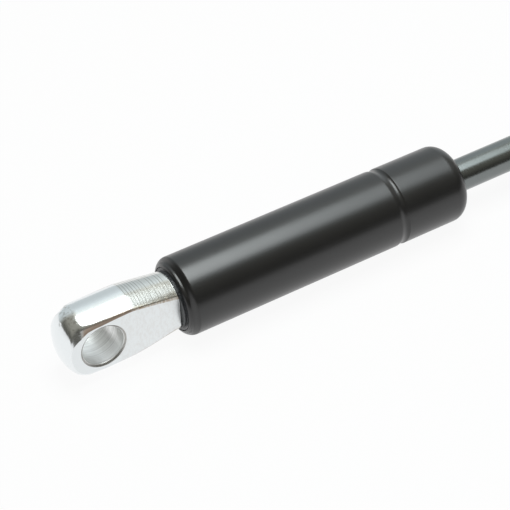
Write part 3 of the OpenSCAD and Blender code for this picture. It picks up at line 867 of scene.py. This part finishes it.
innerParts = [
    # name, node, profile, finish, body, slot, fine shape
    ("plugORing", "plug_o_ring", sectionCircle(26.15, 7.36, 0.87), oRing,
     "cylinder", "o_ring_rubber", None),
    ("guideORing", "guide_o_ring", sectionCircle(90.475, 7.36, 0.87), oRing,
     "cylinder", "o_ring_rubber", None),
    ("supportRing", "support_ring", ringPath(79.65, 80.85, 8.22, 4.10, 0.12), supportSteel,
     "cylinder", "support_steel", None),
    ("mainSeal", "main_seal", sealPath, sealStuff, "cylinder", "seal_rubber", None),
    ("sealBackingRing", "seal_backing_ring", ringPath(84.45, 85.45, 8.22, 4.10, 0.1), backing,
     "cylinder", "backing_plastic", None),
    ("feltRing", "felt_ring", ringPath(85.47, 87.23, 5.91, 4.06, 0.15), felt, "cylinder", "felt", feltFuzz),
    ("rodGuide", "rod_guide", guidePath, guideAlloy, "cylinder", "guide_alloy", None),
    ("guideBush", "guide_bush", ringPath(87.26, 93.69, 4.78, 4.03, 0.15), bronze,
     "cylinder", "bush_bronze", None),
    ("endWasher", "end_washer", washerPath, endSteel, "cylinder", "end_washer_steel", None),
    ("rodWiper", "rod_wiper", wiperPath, wiperStuff, "cylinder", "wiper_rubber", None),
    ("stopBuffer", "stop_buffer", bufferPath, bufferStuff, "rod", "buffer_rubber", bufferSwell),
    ("frontWasher", "front_washer", ringPath(74.25, 75.75, 5.10, 2.78, 0.15), zinc,
     "rod", "washer_steel", None),
    ("valveDisc", "valve_disc", ringPath(66.75, 67.25, 7.20, 2.78, 0.06), springSteel,
     "rod", "disc_steel", None),
    ("rearWasher", "rear_washer", ringPath(65.55, 66.75, 5.10, 2.78, 0.15), zinc,
     "rod", "washer_steel", None),
    ("pistonCore", "piston", pistonPath, pistonAlloy, "rod", "piston_alloy", None),
]
portLook = {
    "count": 4, "place": 6.01, "radius": 0.6, "from": 66.0, "to": 75.8, "cone": 0.8, "sharpAngle": 30,
}


# An oil port's drill: a cylinder along X with pointed ends, turned round X by an angle.
def portDrill(p, spot):
    circle = sectionCircle(0, 0, p["radius"])
    centreY = -p["place"] * math.sin(spot)
    centreZ = p["place"] * math.cos(spot)
    ends = np.array([p["from"], p["from"] + p["cone"], p["to"] - p["cone"], p["to"]])
    size = np.array([0.0, 1.0, 1.0, 0.0])[:, None]
    x = np.repeat(ends[:, None], len(circle), 1)
    y = centreY + circle[:, 0] * size
    z = centreZ + circle[:, 1] * size
    points = np.stack([x, y, z], -1).reshape(-1, 3)
    faces = gridFaces(len(ends), len(circle), False, True)
    return objectFrom("portDrill", meshFrom("portDrill", points, faces))


for name, node, path, finish, body, slot, shape in innerParts:
    piece = objectFrom(name, turned(name, path, True, height=shape))
    if node == "piston":
        for k in range(portLook["count"]):
            spot = k * 2 * math.pi / portLook["count"]
            cutOut(piece, portDrill(portLook, spot), portLook["sharpAngle"])
    settle(piece, finish, body, node)

ringLook = {"gap": 0.5, "gapRadius": 7.6, "around": 120, "tint": (0.74, 0.70, 0.60)}
halfGap = math.degrees(ringLook["gap"] / 2 / ringLook["gapRadius"])
ringMesh = swept("splitPistonRing", ringPath(69.75, 71.75, 8.22, 7.12, 0.15),
                 halfGap, 360 - halfGap, ringLook["around"])
settle(objectFrom("splitPistonRing", ringMesh), plastic("ringPlastic", ringLook["tint"]),
       "sliding_ring", "piston_ring")
print("inner parts done")


# The room's edges are pairs of direction values between which one tone fades into the next.
stageLook = {
    "floorZ": -0.00953, "floorSize": 3.0, "floorWhite": (0.86, 0.86, 0.86), "glow": 0.93,
    "glossFloor": 0.06, "fill": 0.28,
    "frontLow": 0.11, "frontRise": 0.20, "frontEdge": (0.2, 0.7), "frontTint": (1.0, 0.97, 0.84),
    "back": 0.70, "backLean": 0.25, "backEdge": (0.45, 0.72), "backTint": (0.91, 0.98, 1.0),
    "side": 0.32, "sideEdge": (0.40, 0.56), "tintEdge": (0.1, 0.8),
    "overhead": 1.35, "overheadLean": 0.40, "overheadEdge": (-0.12, 0.12),
    "nearEdge": (0.75, -0.58), "nearSide": (-0.25, 0.25),
    "farEnd": 7.0, "farEdge": (0.14, -0.14), "farSide": (0.30, 0.40),
    "pastSide": (0.395, 0.465), "pastDim": 0.62,
}


def makeFloor(s):
    step = np.linspace(-s["floorSize"], s["floorSize"], 5)
    x, y = np.meshgrid(step, step, indexing="ij")
    points = np.stack([x, y, np.full_like(x, s["floorZ"])], -1).reshape(-1, 3)
    mesh = bpy.data.meshes.new("paleFloor")
    mesh.from_pydata(points.tolist(), [], gridFaces(5, 5, False, False).tolist())
    floor = objectFrom("paleFloor", mesh)
    material = bpy.data.materials.new("palePaper")
    b = Board(material)
    rays = b.node("ShaderNodeLightPath").outputs
    seen = b.sums("ADD", rays["Is Camera Ray"], rays["Is Glossy Ray"])
    seen = b.sums("ADD", seen, rays["Is Transmission Ray"], True)
    paper = b.node("ShaderNodeBsdfDiffuse", None, {"Color": s["floorWhite"]})
    level = b.sums("ADD", 1.0, Amount(b, rays["Is Glossy Ray"]) * s["glossFloor"])
    glow = b.node("ShaderNodeEmission", None, {"Color": (1, 1, 1), "Strength": level})
    mixed = b.node("ShaderNodeMixShader", None,
                   {0: seen * s["glow"], 1: paper.outputs[0], 2: glow.outputs[0]})
    b.node("ShaderNodeOutputMaterial", None, {"Surface": mixed.outputs[0]})
    mesh.materials.append(material)


# The room that gloss shows: dim in front and to the left, pale behind, brighter overhead, with
# the brightest strip overhead to the right. The camera sees plain white.
def makeRoom(s):
    world = bpy.data.worlds.new("studioRoom")
    scene.world = world
    b = Board(world)
    rays = b.node("ShaderNodeLightPath").outputs
    x, y, z = b.split(b.node("ShaderNodeTexCoord").outputs["Generated"])
    lean = z * s["overheadLean"]
    back = b.rise(y + x * s["backLean"], *s["backEdge"])
    front = b.rise(z, *s["frontEdge"]) * s["frontRise"] + s["frontLow"]
    near = b.rise(y - lean, *s["nearEdge"]) * b.rise(x, *s["nearSide"]) * s["overhead"]
    far = b.rise(y - lean, *s["farEdge"]) * b.rise(x, *s["farSide"]) * s["farEnd"]
    past = b.rise(x, *s["pastSide"])
    overhead = b.rise(y + lean, *s["overheadEdge"]) * (near + far - past * (near * s["pastDim"] + far))
    side = b.rise(x, *s["sideEdge"]) * s["side"]
    room = front + back * (side + s["back"] - front) + overhead
    cool = b.sums("MAXIMUM", back, b.rise(overhead, *s["tintEdge"]))
    tint = b.blend(cool, s["frontTint"], s["backTint"])
    glossy = Amount(b, rays["Is Glossy Ray"])
    camera = Amount(b, rays["Is Camera Ray"])
    level = glossy * (room - s["fill"]) + s["fill"]
    level = camera * (1 - level) + level
    colour = b.blend(glossy, (1, 1, 1), tint)
    sky = b.node("ShaderNodeBackground", None, {"Color": colour, "Strength": level})
    b.node("ShaderNodeOutputWorld", None, {"Surface": sky.outputs[0]})


lampLook = {
    "place": (0.080, -0.005, 0.50), "target": (0.080, -0.005, 0.0), "width": 0.27, "depth": 0.37,
    "radiance": 6.7, "tint": (0.955, 1.0, 0.99),
}


# A rectangular lamp of one radiance: power is radiance times pi times area.
def makeLamp(name, s):
    light = bpy.data.lights.new(name, "AREA")
    light.shape = "RECTANGLE"
    light.size = s["width"]
    light.size_y = s["depth"]
    light.energy = s["radiance"] * math.pi * s["width"] * s["depth"]
    light.color = s["tint"]
    lampObject = bpy.data.objects.new(name, light)
    aim = (Vector(s["target"]) - Vector(s["place"])).to_track_quat("-Z", "Y")
    lampObject.matrix_world = Matrix.Translation(s["place"]) @ aim.to_matrix().to_4x4()
    lampObject.visible_camera = False
    scene.collection.objects.link(lampObject)


cameraLook = {
    "lens": 134.24, "sensor": 36.0, "nearest": 0.01, "farthest": 50.0,
    "place": (-0.118832, -0.288247, 0.284887),
    "right": (0.85361593, -0.51907994, -0.04354136), "up": (0.36635415, 0.5388304, 0.75858186),
}


def makeCamera(s):
    camera = bpy.data.cameras.new("photoCamera")
    camera.lens = s["lens"]
    camera.sensor_width = s["sensor"]
    camera.clip_start = s["nearest"]
    camera.clip_end = s["farthest"]
    right = Vector(s["right"])
    up = Vector(s["up"])
    cameraObject = bpy.data.objects.new("photoCamera", camera)
    turn = Matrix((right, up, right.cross(up))).transposed().to_4x4()
    cameraObject.matrix_world = Matrix.Translation(s["place"]) @ turn
    scene.collection.objects.link(cameraObject)
    scene.camera = cameraObject


makeFloor(stageLook)
makeRoom(stageLook)
makeLamp("topSoftbox", lampLook)
makeCamera(cameraLook)
scene.view_settings.view_transform = "Standard"
print("stage done")
